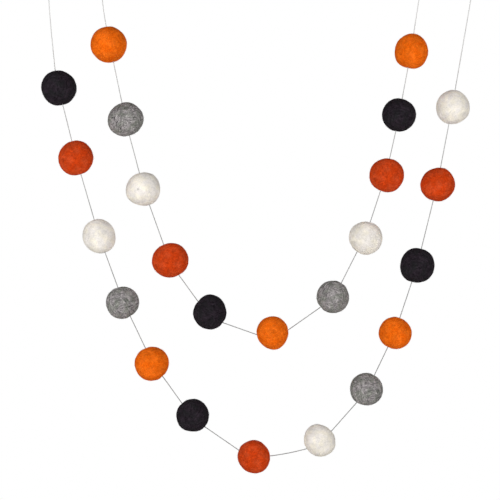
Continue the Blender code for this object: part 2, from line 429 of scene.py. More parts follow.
print(f"{PLIES} plies of {PLY_DIAMETER / MM:.1f} mm, one turn in {LAY_LENGTH / MM:.1f} mm")

# %% Geometry Nodes: twist a string
STRING_STEP = 0.36 * MM
SLUB = 0.1
SLUBS_ALONG = 90.0


def twist_tree():
    tree, given, result = new_tree(
        "twist string",
        "GeometryNodeTree",
        [
            ("Path", "NodeSocketGeometry", None),
            ("Plies", "NodeSocketInt", PLIES),
            ("Ply Diameter", "NodeSocketFloat", PLY_DIAMETER),
            ("Ring Radius", "NodeSocketFloat", (STRING_DIAMETER - PLY_DIAMETER) / 2),
            ("Lay Length", "NodeSocketFloat", LAY_LENGTH),
            ("Step", "NodeSocketFloat", STRING_STEP),
            ("Slub", "NodeSocketFloat", SLUB),
            ("Cotton", "NodeSocketMaterial", None),
        ],
        [("String", "NodeSocketGeometry")],
    )
    length = put(tree, "GeometryNodeSplineParameter").outputs["Length"]
    swell = maths(tree, "SUBTRACT", drift(tree, length, SLUBS_ALONG), 0.5)
    swell = maths(tree, "MULTIPLY", swell, given["Slub"])
    swept = {
        "Curve": turned_line(tree, given, length),
        "Profile Curve": ring_of_plies(tree, given),
        "Scale": maths(tree, "ADD", swell, 1.0),
        "Fill Caps": True,
    }
    string = put(tree, "GeometryNodeCurveToMesh", swept).outputs[0]
    tree.links.new(finished(tree, string, given["Cotton"]), result["String"])
    return tree


TWIST = twist_tree()
print("made the recipe", TWIST.name)

# %% Run a recipe, and twist the string
def link_object(name, mesh):
    made = bpy.data.objects.new(name, mesh)
    scene.collection.objects.link(made)
    return made


def shape_with(piece, tree, values):
    """Run a shape recipe on a piece and keep the result as its plain mesh."""
    modifier = piece.modifiers.new(tree.name, "NODES")
    modifier.node_group = tree
    identifiers = {item.name: item.identifier for item in tree.interface.items_tree}
    for label, value in values.items():
        modifier[identifiers[label]] = value
    depsgraph = bpy.context.evaluated_depsgraph_get()
    shaped = bpy.data.meshes.new_from_object(
        piece.evaluated_get(depsgraph), preserve_all_data_layers=True, depsgraph=depsgraph
    )
    piece.modifiers.remove(modifier)
    rough = piece.data
    piece.data = shaped
    bpy.data.meshes.remove(rough)
    shaped.name = piece.name
    return piece


def triangles_in(piece):
    return sum(len(face.vertices) - 2 for face in piece.data.polygons)


def twisted(name, points):
    """A twisted string along the points, as a plain mesh."""
    line = bpy.data.meshes.new(name)
    line.from_pydata(points, [(k, k + 1) for k in range(len(points) - 1)], [])
    return shape_with(link_object(name, line), TWIST, {"Cotton": cotton})


plied_string = twisted("plied_string", string_path)
print(f"{plied_string.name}: {triangles_in(plied_string)} triangles")

# %% [markdown]
# The tail lies beside the string and both are wrapped with a few snug turns, whose ends are tucked
# between the strands. The knot is one more twisted string, so the same recipe makes it. Its path
# comes up through the core in front, winds down round both strands and goes back up behind them.

# %% Knots
WRAP_TURNS = 3.5
WRAP_START = math.radians(-90) + math.radians(25)
WRAP_RADIUS = 1.78 * MM
WRAP_HEIGHT = 3.5 * MM
WRAP_WAIST = 0.93
WRAP_STEPS_PER_TURN = 16
TUCK_DEPTH = 0.85 * MM
TUCK_START = 0.8
AWAY = Vector((0.0, 1.0, 0.0))


def knot_path(knot, slope):
    centre = on_plane(*knot)
    up, side = knot_axes(slope)
    half = WRAP_HEIGHT / 2
    tucked = (-KNOT_HEIGHT / 2, 0.0, TUCK_START * half)

    def spot(across, back, along):
        return centre + side * across + AWAY * back + up * along

    path = [spot(0.0, -TUCK_DEPTH, along) for along in tucked]
    steps = round(WRAP_TURNS * WRAP_STEPS_PER_TURN)
    for k in range(steps + 1):
        share = k / steps
        turn = WRAP_START + share * WRAP_TURNS * 2 * math.pi
        bulge = WRAP_WAIST + (1 - WRAP_WAIST) * abs(math.cos(share * 2 * math.pi))
        radius = WRAP_RADIUS * bulge
        across, back = radius * math.cos(turn), radius * math.sin(turn)
        path.append(spot(across, back, half * (1 - 2 * share)))
    return path + [spot(0.0, TUCK_DEPTH, -along) for along in reversed(tucked)]


wrapped_knots = [
    twisted("wrapped_knot_inner", knot_path(INNER_KNOT, INNER_KNOT_SLOPE)),
    twisted("wrapped_knot_outer", knot_path(OUTER_KNOT, OUTER_KNOT_SLOPE)),
]
for knot in wrapped_knots:
    print(f"{knot.name}: {triangles_in(knot)} triangles")

# %% [markdown]
# The string and its knots hang from the root and stand for their solids, which are hidden. It
# leaves the top ball of the inner swag at the right, and both its ends are knots.

for piece, node in ((plied_string, "string"), *zip(wrapped_knots, ("knot_inner", "knot_outer"))):
    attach(piece, "root")
    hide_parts(node)

# %% [markdown]
# The balls were rolled by hand, so no two are alike. Each is a slightly long egg with soft lumps,
# and rolling left one corner or one flat on it. The tables hold the driving sizes of the solids,
# and the same rule makes the surface here, so each felted ball lies exactly where its solid does.

# %% Sizes of the balls
INNER_BALLS = (
    # colour, x, z, long, short, tilt, corner at, corner height
    ("orange", 114.75, -61.5, 26.0, 25.0, 80, 260, -1.5),
    ("black", 105.5, -108.5, 25.0, 24.5, 0, 20, 0.8),
    ("burnt_orange", 96.5, -153.0, 25.75, 25.25, 160, 250, -0.7),
    ("cream", 81.0, -199.25, 24.75, 24.25, 155, 100, -0.6),
    ("grey", 56.75, -242.75, 24.25, 23.75, 120, 320, 0.3),
    ("orange", 12.25, -269.25, 24.5, 23.5, 105, 290, 1.2),
    ("black", -34.0, -254.0, 25.75, 24.25, 75, 140, -1.4),
    ("burnt_orange", -63.25, -215.75, 27.25, 25.25, 15, 170, 0.4),
    ("cream", -83.25, -163.25, 25.75, 24.75, 20, 260, -1.3),
    ("grey", -96.25, -111.75, 26.5, 25.0, 25, 50, -0.7),
    ("orange", -108.75, -56.5, 26.75, 26.75, 120, 70, -0.3),
)
OUTER_BALLS = (
    # colour, x, z, long, short, tilt, corner at, corner height
    ("black", -145.5, -88.5, 26.25, 25.75, 135, 240, 0.8),
    ("burnt_orange", -133.0, -140.25, 26.0, 25.5, 35, 275, -0.4),
    ("cream", -115.75, -198.0, 26.0, 24.0, 125, 255, -0.7),
    ("grey", -98.5, -247.0, 24.75, 23.75, 30, 200, -1.2),
    ("orange", -77.0, -292.0, 25.5, 25.0, 30, 320, -0.8),
    ("black", -46.75, -330.25, 24.25, 24.25, 85, 270, -1.3),
    ("burnt_orange", -1.5, -360.75, 24.75, 23.75, 125, 310, 1.0),
    ("cream", 47.0, -348.75, 24.5, 22.5, 130, 110, 0.8),
    ("grey", 81.5, -311.0, 24.5, 24.0, 150, 220, 0.6),
    ("orange", 102.75, -269.5, 24.5, 23.5, 155, 150, -0.6),
    ("black", 119.0, -219.5, 26.0, 25.5, 70, 230, 1.1),
    ("burnt_orange", 134.25, -159.75, 25.75, 24.75, 35, 70, 1.0),
    ("cream", 145.25, -102.75, 25.25, 24.75, 55, 340, 1.1),
)


def name_of_solid(swag, place, row):
    return f"ball_{swag}_{place:02d}_{row[0]}"


def off_its_solid(swag, place, row):
    """How far a ball's centre in the tables is from the middle of its solid."""
    low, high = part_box(name_of_solid(swag, place, row))
    return ((low + high) / 2 - on_plane(row[1], row[2])).length


farthest = max(
    off_its_solid(swag, place, row)
    for swag, rows in (("inner", INNER_BALLS), ("outer", OUTER_BALLS))
    for place, row in enumerate(rows, start=1)
)
print(f"every ball is within {farthest / MM:.1f} mm of the middle of its solid")

# %% Surface of a ball
LUMP_HEIGHT = 0.03
LUMP_FREQUENCY = 1.4
LUMP_STEP = (7.31, 3.17, 5.53)
CORNER_WIDTH = 0.5
CORNER_WAVES = range(3, 7)


def egg_scale(direction, long, short, tilt):
    """Stretch a unit direction into an egg, its long axis tilted in the garland's plane."""
    long_axis = Vector((math.cos(tilt), 0.0, math.sin(tilt)))
    short_axis = Vector((-math.sin(tilt), 0.0, math.cos(tilt)))
    depth = (long + short) / 2
    return (
        long_axis * direction.dot(long_axis) * long / 2
        + short_axis * direction.dot(short_axis) * short / 2
        + Vector((0.0, direction.y * depth / 2, 0.0))
    )


def corner_lift(direction, at, height):
    """How far a ball's one soft corner, or its flat where the height is below 0, lifts its skin."""
    away = math.atan2(direction.z, direction.x) - at
    wave = 0.0
    for n in CORNER_WAVES:
        share = CORNER_WIDTH / math.sqrt(math.pi) * math.exp(-((n * CORNER_WIDTH / 2) ** 2))
        wave += share * math.cos(n * away)
    return height * wave * math.hypot(direction.x, direction.z) ** 3


def ball_surface(row, number, direction):
    """The surface point of a ball in a direction from its centre, measured from that centre."""
    _, _, _, long, short, tilt, corner_at, corner_height = row
    own_lumps = Vector([number * step for step in LUMP_STEP])
    lump = 1.0 + LUMP_HEIGHT * noise.noise(direction * LUMP_FREQUENCY + own_lumps)
    egg = egg_scale(direction, long * MM, short * MM, math.radians(tilt))
    lift = corner_lift(direction, math.radians(corner_at), corner_height * MM)
    return egg * lump + direction * lift


front_of_first = ball_surface(INNER_BALLS[0], 1, Vector((0.0, -1.0, 0.0))).length
print(f"the first ball stands {front_of_first / MM:.1f} mm out in front of the string")

# %% [markdown]
# The needle leaves a channel through the ball, and the string bends inside it. The skin has to
# close round the string just where it comes out, so the crossing of the string with the surface is
# found first, by halving the step between the last point inside and the first one outside.

# %% The string inside a ball
BALL_REACH = 20 * MM
HALVINGS = 20


def is_inside(row, number, point):
    return point.length < ball_surface(row, number, point.normalized()).length


def crossing(row, number, within, without):
    """Where the string passes the surface between two of its points."""
    for _ in range(HALVINGS):
        middle = (within + without) / 2
        if is_inside(row, number, middle):
            within = middle
        else:
            without = middle
    return within


def string_inside(row, number):
    """The points of the string that lie inside a ball, measured from the ball's centre."""
    centre = on_plane(row[1], row[2])
    near = [p - centre for p in string_path if (p - centre).length < BALL_REACH]
    inside = [p for p in near if is_inside(row, number, p)]
    first, last = near.index(inside[0]), near.index(inside[-1])
    entry = crossing(row, number, inside[0], near[first - 1])
    leave = crossing(row, number, inside[-1], near[last + 1])
    return [entry, *inside, leave]


def point_along(points, share):
    """The place on a line of points at a share of its length, and the line's direction there."""
    goal = share * length_of(points)
    for a, b in zip(points, points[1:]):
        step = (b - a).length
        if goal <= step:
            return a + (b - a) * (goal / step), (b - a).normalized()
        goal -= step
    return points[-1], (points[-1] - points[-2]).normalized()


through_first = length_of(string_inside(INNER_BALLS[0], 1))
print(f"{through_first / MM:.1f} mm of string lie inside the first ball")

# %% [markdown]
# The needle also pulls a little wool in where it goes through, so the ball has a small funnel
# there. A plain sphere has neither funnel nor channel, and cutting them out of one leaves ragged
# faces. The ball is built instead as a grid of rings from one hole to the other over the outside,
# and back through the middle along the string, which makes one closed skin of even quads. Each
# ring also says how much of the felt's relief it takes: all of it outside, none in the channel.

# %% Directions round a ball
SEGMENTS = 112
ANGLES = [2 * math.pi * k / SEGMENTS for k in range(SEGMENTS)]


def hole_directions(thread):
    """The directions of a ball's two holes and of the axis between them."""
    entry, leave = thread[0].normalized(), thread[-1].normalized()
    return entry, leave, (leave - entry).normalized()


def level_directions(axis):
    """Two directions at right angles to the axis and to each other."""
    turn = Vector((0.0, 0.0, 1.0)).rotation_difference(axis)
    return turn @ Vector((1.0, 0.0, 0.0)), turn @ Vector((0.0, 1.0, 0.0))


first_axis = hole_directions(string_inside(INNER_BALLS[0], 1))[2]
lean = math.degrees(math.atan2(abs(first_axis.x), abs(first_axis.z)))
print(f"the first ball's holes lie {lean:.0f} degrees off upright")

# %% Rings of a ball
OUTER_RINGS = 78
CHANNEL_RINGS = 6
CHANNEL_RADIUS = 0.47 * MM
CHANNEL_ENDS = 0.06
FUNNEL_DEPTH = 0.045
FUNNEL_WIDTH = 0.13
SMOOTH_WIDTH = 1.5 * FUNNEL_WIDTH
HOLE_PULL = 4


def near_hole(polar, width):
    """1 at either hole, falling away to 0 over the width."""
    from_hole = min(polar, math.pi - polar)
    return math.exp(-((from_hole / width) ** 2))


def skin_ring(row, number, thread, polar):
    """One ring of the skin, at an angle from the hole where the string leaves."""
    entry, leave, axis = hole_directions(thread)
    level_one, level_two = level_directions(axis)
    height = math.cos(polar)
    to_leave, to_entry = max(height, 0.0) ** HOLE_PULL, max(-height, 0.0) ** HOLE_PULL
    shift = (leave - axis) * to_leave + (entry + axis) * to_entry
    funnel = 1.0 - FUNNEL_DEPTH * near_hole(polar, FUNNEL_WIDTH)
    ring = []
    for angle in ANGLES:
        flat = level_one * math.cos(angle) + level_two * math.sin(angle)
        direction = (flat * math.sin(polar) + axis * height + shift).normalized()
        ring.append(ball_surface(row, number, direction) * funnel)
    return ring


def channel_ring(thread, share):
    """One ring of the channel, round the string at a share of its way through the ball."""
    level_one, _ = level_directions(hole_directions(thread)[2])
    middle, heading = point_along(thread, share)
    across = (level_one - heading * level_one.dot(heading)).normalized()
    other = heading.cross(across)
    return [middle + (across * math.cos(a) + other * math.sin(a)) * CHANNEL_RADIUS for a in ANGLES]


def ball_rings(row, number):
    """All rings of a ball, and how much of the felt's relief each one takes."""
    thread = string_inside(row, number)
    hole = math.asin(CHANNEL_RADIUS / thread[-1].length)
    rings, reliefs = [], []
    for j in range(OUTER_RINGS):
        polar = hole + (math.pi - 2 * hole) * j / (OUTER_RINGS - 1)
        rings.append(skin_ring(row, number, thread, polar))
        reliefs.append(1.0 - near_hole(polar, SMOOTH_WIDTH))
    for j in range(CHANNEL_RINGS):
        share = CHANNEL_ENDS + (1 - 2 * CHANNEL_ENDS) * (j + 0.5) / CHANNEL_RINGS
        rings.append(channel_ring(thread, share))
        reliefs.append(0.0)
    return rings, reliefs


print(f"a ball has {OUTER_RINGS} rings outside and {CHANNEL_RINGS} in its channel")

# %% [markdown]
# Three things are kept on every point for the recipes that follow. One is its relief. One is its
# place in the wool, in ball radii and turned by a random angle, so that no two balls show the same
# swirls. The last is how much of a dark fleck it shows: one cream ball has caught a dark fibre.

# %% Mesh of a ball
FLECKS = {"felted_inner_09_cream": Vector((-0.25, -0.967, -0.035))}
FLECK_SPREAD = 0.07
LARGEST_TURN = 6.28


def fleck_at(name, point):
    """How much of a dark fleck shows at a point of a ball."""
    if name not in FLECKS:
        return 0.0
    away = (point.normalized() - FLECKS[name]).length
    return math.exp(-((away / FLECK_SPREAD) ** 2))


def ring_faces(count):
    """The faces from each ring to the following one, and from the last to the first."""
    faces = []
    for j in range(count):
        here, there = j * SEGMENTS, (j + 1) % count * SEGMENTS
        for k in range(SEGMENTS):
            following = (k + 1) % SEGMENTS
            faces.append((here + k, there + k, there + following, here + following))
    return faces


def keep_on_points(mesh, name, values):
    """Keep a number, or a vector, for every point of a mesh."""
    if isinstance(values[0], Vector):
        kept = mesh.attributes.new(name, "FLOAT_VECTOR", "POINT")
        kept.data.foreach_set("vector", [part for value in values for part in value])
    else:
        kept = mesh.attributes.new(name, "FLOAT", "POINT")
        kept.data.foreach_set("value", values)


def ball_mesh(name, row, number):
    rings, reliefs = ball_rings(row, number)
    points = [point for ring in rings for point in ring]
    centre = on_plane(row[1], row[2])
    mesh = bpy.data.meshes.new(name)
    mesh.from_pydata([centre + point for point in points], [], ring_faces(len(rings)))
    mesh.shade_smooth()
    first_turn = random.Random(number).uniform(0.0, LARGEST_TURN)
    own_turn = Euler([first_turn + n for n in range(3)]).to_matrix()
    mean_radius = (row[3] + row[4]) / 4 * MM
    keep_on_points(mesh, "wool", [own_turn @ point / mean_radius for point in points])
    keep_on_points(mesh, "skin", [relief for relief in reliefs for _ in range(SEGMENTS)])
    keep_on_points(mesh, "fleck", [fleck_at(name, point) for point in points])
    return mesh


print("balls with a fleck:", ", ".join(FLECKS))

# %% [markdown]
# Felted wool has no weave. Its fibres were wetted and rolled until they locked together, and each
# roll left them lying in arcs round the ball, so the surface shows strands that swirl round
# changing middles. A noise texture that is squeezed along the angle from an axis gives rings of
# strands round that axis, and a second noise bends them. That is one winding.

# %% Shader group: one winding of wool
BEND_SCALE = 1.7
BEND_DETAIL = 3.5
BEND_ROUGHNESS = 0.55
STRAND_ROUGHNESS = 0.66


def winding_group():
    tree, given, result = new_tree(
        "wool winding",
        "ShaderNodeTree",
        [
            ("Place", "NodeSocketVector", None),
            ("Axis Turn", "NodeSocketVector", (0.0, 0.0, 0.0)),
            ("Strands", "NodeSocketFloat", 12.0),
            ("Breaks", "NodeSocketFloat", 1.6),
            ("Wander", "NodeSocketFloat", 0.5),
            ("Detail", "NodeSocketFloat", 5.0),
        ],
        [("Winding", "NodeSocketFloat")],
    )
    turning = {"Vector": given["Place"], "Rotation": given["Axis Turn"]}
    turned = put(tree, "ShaderNodeVectorRotate", turning, rotation_type="EULER_XYZ").outputs[0]
    bends = noise_texture(tree, turned, BEND_SCALE, BEND_DETAIL, BEND_ROUGHNESS)
    bend = vector_maths(tree, "SUBTRACT", bends["Color"], (0.5, 0.5, 0.5))
    bend = vector_maths(tree, "SCALE", bend, given["Wander"])
    wandering = vector_maths(tree, "NORMALIZE", vector_maths(tree, "ADD", turned, bend))
    x, y, z = put(tree, "ShaderNodeSeparateXYZ", {0: wandering}).outputs
    squeezed = {
        0: maths(tree, "MULTIPLY", x, given["Breaks"]),
        1: maths(tree, "MULTIPLY", y, given["Breaks"]),
        2: maths(tree, "MULTIPLY", maths(tree, "ARCCOSINE", z), given["Strands"]),
    }
    place = put(tree, "ShaderNodeCombineXYZ", squeezed).outputs[0]
    strands = noise_texture(tree, place, 1.0, given["Detail"], STRAND_ROUGHNESS)
    tree.links.new(strands["Fac"], result["Winding"])
    return tree


WINDING = winding_group()
print("made the group", WINDING.name)

# %% [markdown]
# Each roll of the ball between the hands lays the wool another way. One winding alone would look
# like yarn on a spool, so the felt lays three over each other, with other axes, each in patches of
# its own. The patches are blotches of a soft noise, cut off below one value and full from another.

# %% Three windings in patches
WINDING_TURNS = ((0.5, 0.3, 0.0), (1.7, 0.4, 0.9), (0.9, 1.6, 2.1))
WINDING_DETAIL = 5.0
# Each kind of blotch: how fine it is, its detail, and the noise where it starts and is full
BLOTCHES = {
    "second winding": (1.1, 1.0, 0.44, 0.56),
    "third winding": (1.9, 1.0, 0.5, 0.6),
    "Patch": (1.6, 2.0, 0.32, 0.68),
    "Tint": (2.3, 1.0, 0.42, 0.62),
}


def wound(tree, place, turn, **values):
    """One winding, with the axis turned its own way."""
    inputs = {"Place": place, "Axis Turn": turn, **values}
    return put(tree, "ShaderNodeGroup", inputs, node_tree=WINDING).outputs["Winding"]


def blotches(tree, place, kind):
    scale, detail, low, high = BLOTCHES[kind]
    return spread(tree, noise_texture(tree, place, scale, detail)["Fac"], low, high)


def blended(tree, share, first, second):
    inputs = {0: share, 2: first, 3: second}
    return put(tree, "ShaderNodeMix", inputs, data_type="FLOAT").outputs[0]


def swirls(tree, place, **values):
    """Three windings, each in its own patches."""
    first, second, third = (
        wound(tree, place, turn, Detail=WINDING_DETAIL, **values) for turn in WINDING_TURNS
    )
    both = blended(tree, blotches(tree, place, "second winding"), first, second)
    return blended(tree, blotches(tree, place, "third winding"), both, third)


print(len(WINDING_TURNS), "windings and these blotches:", ", ".join(BLOTCHES))

# %% [markdown]
# Single hairs lie over the swirls, light ones and dark ones that cross. A curve for each would be
# far too many curves. A much finer winding gives them all at once: a thin line shows wherever it
# passes its middle value. Two such windings make the light hairs and two others the dark ones.

# %% Crossing hairs
HAIR_TURNS = ((0.2, 1.1, 0.4), (1.4, 0.2, 2.6), (2.2, 0.9, 1.1), (0.8, 2.3, 0.3))
HAIR_STRANDS = (30.0, 22.0, 26.0, 34.0)
HAIR_BREAKS = 2.6
HAIR_WANDER = 1.1
HAIR_DETAIL = 1.0
HAIR_WIDTH = 0.07


def hairs(tree, place, turn, strands):
    """Thin lines, where a fine winding passes its middle value."""
    values = {"Breaks": HAIR_BREAKS, "Wander": HAIR_WANDER, "Detail": HAIR_DETAIL}
    fine = wound(tree, place, turn, Strands=strands, **values)
    off = maths(tree, "ABSOLUTE", maths(tree, "SUBTRACT", fine, 0.5))
    return spread(tree, off, 0.0, HAIR_WIDTH, 1.0, 0.0)


def crossing_hairs(tree, place):
    """Light hairs above a middle value of one half, and dark ones below it."""
    light_one, light_two, dark_one, dark_two = (
        hairs(tree, place, turn, strands) for turn, strands in zip(HAIR_TURNS, HAIR_STRANDS)
    )
    light = maths(tree, "MAXIMUM", light_one, light_two)
    dark = maths(tree, "MAXIMUM", dark_one, dark_two)
    return maths(tree, "MULTIPLY_ADD", maths(tree, "SUBTRACT", light, dark), 0.5, 0.5)


print("hairs side by side in each fine winding:", HAIR_STRANDS)

# %% [markdown]
# The swirls and the hairs become one group that all five wools share, so that a change to the felt
# is made in one place. Each wool gives it its own number of strands. The group also puts out two
# kinds of blotches, for shade and for tint, and a height with small pits between the fibres.

# %% Shader group: felted wool
PIT_SCALE = 26.0
PIT_DETAIL = 3.0
PIT_ROUGHNESS = 0.65
# How much the hairs and the pits each add to the height
HAIR_HEIGHT = 0.6
PIT_HEIGHT = 0.7


def felt_group():
    tree, given, result = new_tree(
        "felted wool",
        "ShaderNodeTree",
        [
            ("Place", "NodeSocketVector", None),
            ("Strands", "NodeSocketFloat", 12.0),
            ("Breaks", "NodeSocketFloat", 1.6),
            ("Wander", "NodeSocketFloat", 0.5),
        ],
        [(name, "NodeSocketFloat") for name in ("Swirl", "Fibre", "Patch", "Tint", "Height")],
    )
    place = given["Place"]
    windings = {name: given[name] for name in ("Strands", "Breaks", "Wander")}
    fibre = crossing_hairs(tree, place)
    pits = noise_texture(tree, place, PIT_SCALE, PIT_DETAIL, PIT_ROUGHNESS)["Fac"]
    raised = maths(tree, "MULTIPLY", fibre, HAIR_HEIGHT)
    made = {
        "Swirl": swirls(tree, place, **windings),
        "Fibre": fibre,
        "Patch": blotches(tree, place, "Patch"),
        "Tint": blotches(tree, place, "Tint"),
        "Height": maths(tree, "ADD", raised, maths(tree, "MULTIPLY", pits, PIT_HEIGHT)),
    }
    for name, socket in made.items():
        tree.links.new(socket, result[name])
    return tree


FELT = felt_group()
print("made the group", FELT.name)

# %% [markdown]
# Each wool is the same recipe with its own colours. The swirls run from a deep shade to a light
# one, larger patches lean towards a second hue, and the fine hairs add a little grain. The dyed
# wools are nearly even, while the grey is a blend of light and dark fleece whose strands stand
# apart. Dry wool has almost no gloss, so the shader is rough, and its fine height is a bump.

# %% Colours of the wools
# Each wool: deep shade, light shade, tint of its patches, how much its swirls, patches and hairs
# show, how many strands lie side by side, how short they are, and how strong the bump is
WOOLS = {
    "orange": dict(
        deep=(0.67, 0.084, 0.001), light=(0.90, 0.174, 0.008), tint=(0.83, 0.168, 0.014),
        swirl=0.85, patch=0.4, fibre=0.7, strands=10.0, breaks=1.8, bump=0.5,
    ),
    "burnt_orange": dict(
        deep=(0.45, 0.0265, 0.002), light=(0.67, 0.071, 0.010), tint=(0.58, 0.080, 0.023),
        swirl=0.5, patch=0.5, fibre=0.9, strands=13.0, breaks=2.2, bump=0.6,
    ),
    "cream": dict(
        deep=(0.72, 0.685, 0.65), light=(0.905, 0.855, 0.80), tint=(0.88, 0.82, 0.68),
        swirl=0.5, patch=0.6, fibre=0.4, strands=10.0, breaks=1.6, bump=0.5,
    ),
    "grey": dict(
        deep=(0.024, 0.022, 0.025), light=(0.525, 0.49, 0.49), tint=(0.165, 0.185, 0.146),
        swirl=1.0, patch=0.5, fibre=1.1, strands=15.0, breaks=3.4, bump=0.6,
    ),
    "black": dict(
        deep=(0.0066, 0.0047, 0.0068), light=(0.0335, 0.0255, 0.0338),
        tint=(0.0138, 0.0145, 0.0152),
        swirl=1.0, patch=0.6, fibre=1.0, strands=12.0, breaks=2.6, bump=0.55,
    ),
}
print("wools:", ", ".join(WOOLS))

# %% Felt materials
FELT_ROUGHNESS = 0.95
BUMP_DISTANCE = 0.25 * MM
FLECK_SHADE = 0.5
SWIRL_RANGE = (0.34, 0.66)
PATCH_SHADES = (0.90, 1.08)


def wool_shade(tree, felt, wool):
    """A wool's colour: deep to light swirls, tinted patches, grain and the dark of a fleck."""
    half_swirl, half_fibre = wool["swirl"] / 2, wool["fibre"] / 2
    swirl = spread(tree, felt["Swirl"], *SWIRL_RANGE, 0.5 - half_swirl, 0.5 + half_swirl)
    shade = mixed_colour(tree, swirl, (*wool["deep"], 1.0), (*wool["light"], 1.0))
    tinted = maths(tree, "MULTIPLY", felt["Tint"], wool["patch"])
    shade = mixed_colour(tree, tinted, shade, (*wool["tint"], 1.0))
    grain = spread(tree, felt["Fibre"], 0.0, 1.0, 1.0 - half_fibre, 1.0 + half_fibre)
    patches = spread(tree, felt["Patch"], 0.0, 1.0, *PATCH_SHADES)
    clean = spread(tree, from_mesh(tree, "fleck"), 0.0, 1.0, 1.0, FLECK_SHADE)
    strength = maths(tree, "MULTIPLY", maths(tree, "MULTIPLY", grain, patches), clean)
    return vector_maths(tree, "SCALE", shade, strength)


def felt_material(colour):
    wool = WOOLS[colour]
    material, tree, shader = matt_material("wool_" + colour, FELT_ROUGHNESS)
    place = from_mesh(tree, "wool", "Vector")
    windings = {"Place": place, "Strands": wool["strands"], "Breaks": wool["breaks"]}
    felt = put(tree, "ShaderNodeGroup", windings, node_tree=FELT).outputs
    tree.links.new(wool_shade(tree, felt, wool), shader.inputs["Base Color"])
    bumps = {"Strength": wool["bump"], "Distance": BUMP_DISTANCE, "Height": felt["Height"]}
    bump = put(tree, "ShaderNodeBump", bumps)
    tree.links.new(bump.outputs["Normal"], shader.inputs["Normal"])
    middle = [(a + b) / 2 for a, b in zip(wool["deep"], wool["light"])]
    material.diffuse_color = (*middle, 1.0)
    return material


felts = {colour: felt_material(colour) for colour in WOOLS}
print("made", ", ".join(material.name for material in felts.values()))

# %% [markdown]
# Felt is never smooth. Close up it has shallow dents where the fibres pulled together, a finer
# grain, and a thin down of loose fibres, most of them lying nearly flat. Dents that show in the
# outline have to be real, so noise pushes the skin in and out along its normals. The down is one
# small arched fibre, scattered over the skin by a seeded random count for each area, turned any
# way and raised or flattened at random, and made real at the end, because copies that are only
# instances are lost when the piece is exported.

# %% One fibre
FIBRE_STEPS = 4
FIBRE_SIDES = 3
FIBRE_TIP = 0.35
# The places that bend a fibre, in fibre lengths: along it, sideways, and up from the skin
FIBRE_ARCH = {
    "Start": (0.0, 0.0, -0.05),
    "Middle": (0.45, 0.12, 0.24),
    "End": (1.0, -0.1, 0.02),
}


def one_fibre(tree, length, diameter):
    """An arched fibre with a thin tip, its root just under the skin."""
    ends = {end: vector_maths(tree, "SCALE", at, length) for end, at in FIBRE_ARCH.items()}
    steps = {"Resolution": FIBRE_STEPS}
    way = put(tree, "GeometryNodeSplineParameter").outputs["Factor"]
    swept = {
        "Curve": put(tree, "GeometryNodeCurveQuadraticBezier", {**steps, **ends}).outputs[0],
        "Profile Curve": circle(tree, FIBRE_SIDES, maths(tree, "MULTIPLY", diameter, 0.5)),
        "Scale": spread(tree, way, 0.0, 1.0, 1.0, FIBRE_TIP),
        "Fill Caps": True,
    }
    return put(tree, "GeometryNodeCurveToMesh", swept).outputs[0]


print(f"a fibre has {FIBRE_STEPS} steps of {FIBRE_SIDES} sides")

# %% The down of loose fibres
BARE_BELOW = 0.6
SQUARE_CM_IN_SQUARE_M = 10000.0
SMALLEST_FIBRE = (0.45, -1.0, 0.15)
LARGEST_FIBRE = (1.35, 1.0, 1.5)
# Each random draw adds its own number to the seed
SPIN_DRAW = 101.0
SIZE_DRAW = 202.0


def random_value(tree, seed, draw, kind, low, high):
    """A random number, or vector, for each fibre. The node's sockets differ by kind."""
    low_key, high_key, out = (0, 1, 0) if kind == "FLOAT_VECTOR" else (2, 3, 1)
    inputs = {low_key: low, high_key: high, "Seed": maths(tree, "ADD", seed, draw)}
    return put(tree, "FunctionNodeRandomValue", inputs, data_type=kind).outputs[out]


def scattered_places(tree, given, felted, skin):
    """Random places on the outside of a ball, at so many for each area."""
    above = {"data_type": "FLOAT", "operation": "GREATER_THAN"}
    outside = put(tree, "FunctionNodeCompare", {0: skin, 1: BARE_BELOW}, **above)
    per_area = given["Fibres per Square Centimetre"]
    inputs = {
        "Mesh": felted,
        "Selection": outside.outputs[0],
        "Density": maths(tree, "MULTIPLY", per_area, SQUARE_CM_IN_SQUARE_M),
        "Seed": given["Seed"],
    }
    kind = "GeometryNodeDistributePointsOnFaces"
    return put(tree, kind, inputs, distribute_method="RANDOM").outputs


def down_of_fibres(tree, given, felted, skin):
    """One fibre at each place, turned any way, and raised or flattened at random."""
    seed = given["Seed"]
    places = scattered_places(tree, given, felted, skin)
    angle = random_value(tree, seed, SPIN_DRAW, "FLOAT", 0.0, 2 * math.pi)
    spin = put(tree, "ShaderNodeCombineXYZ", {2: angle}).outputs[0]
    turning = {
        "Rotation": places["Rotation"],
        "Rotate By": put(tree, "FunctionNodeEulerToRotation", {0: spin}).outputs[0],
    }
    turned = put(tree, "FunctionNodeRotateRotation", turning, rotation_space="LOCAL")
    size = random_value(tree, seed, SIZE_DRAW, "FLOAT_VECTOR", SMALLEST_FIBRE, LARGEST_FIBRE)
    inputs = {
        "Points": places["Points"],
        "Instance": one_fibre(tree, given["Fibre Length"], given["Fibre Diameter"]),
        "Rotation": turned.outputs[0],
        "Scale": size,
    }
    return put(tree, "GeometryNodeInstanceOnPoints", inputs).outputs[0]


print("the down lies wherever a point takes more than", BARE_BELOW, "of the relief")

# %% Geometry Nodes: felt the surface
DENT_DETAIL = 2.0


def relief(tree, size, depth):
    """Noise of a size, from a depth below the skin to as much above it."""
    place = put(tree, "GeometryNodeInputPosition").outputs[0]
    waves = noise_texture(tree, place, maths(tree, "DIVIDE", 1.0, size), DENT_DETAIL)["Fac"]
    return maths(tree, "MULTIPLY", spread(tree, waves, 0.0, 1.0, -1.0, 1.0), depth)


